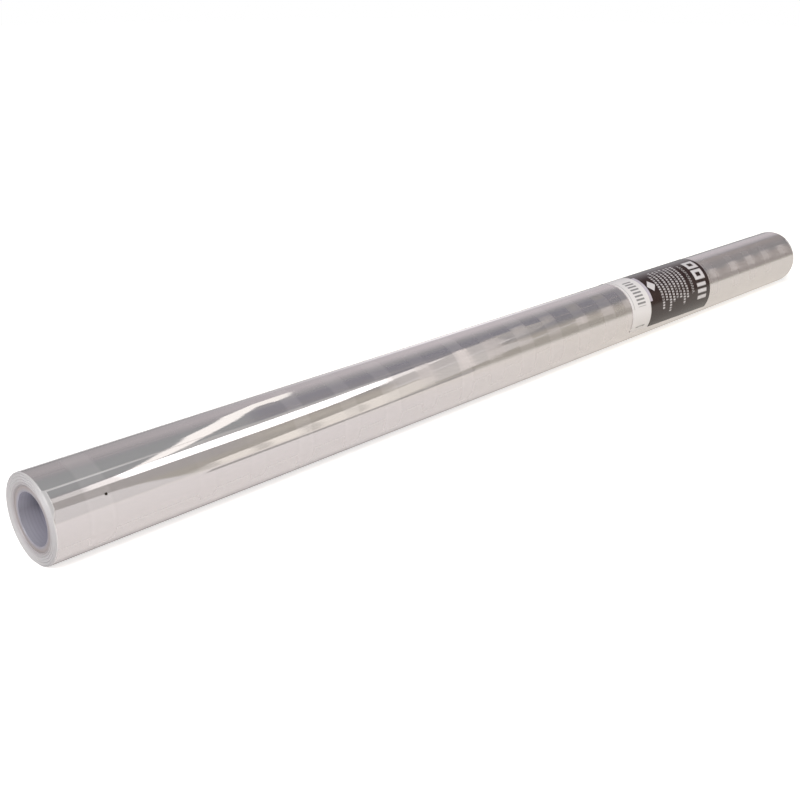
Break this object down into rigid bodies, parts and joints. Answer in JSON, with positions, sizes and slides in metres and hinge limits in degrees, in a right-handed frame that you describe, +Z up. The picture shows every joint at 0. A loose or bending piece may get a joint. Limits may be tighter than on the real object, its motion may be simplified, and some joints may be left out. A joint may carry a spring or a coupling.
{
  "type": "roll of plastic film",
  "caption": "Slim lying roll of clear plastic film wound on an open plastic core, with a dark and white printed label round its front and top.",
  "frame": {"origin": "bottom centre of the roll, on the flat spot that it lies on", "axes": "+X along the roll towards the end with the label, -Y towards the side that shows the label's lower edge, +Z up"},
  "size_m": [0.7, 0.0441, 0.0438],
  "materials": {
    "clear_film": "many turns of clear film, silvery and mirror-like along the side, pale and satin on the ends",
    "core_plastic": "blue-grey extruded plastic with fine rings in the bore",
    "label_paper": "glossy coated paper, a white strip and a dark panel with plain marks"
  },
  "bodies": {
    "root": {"core_tube": "core_plastic", "film_winding": "clear_film", "label": "label_paper"}
  },
  "joints": []
}
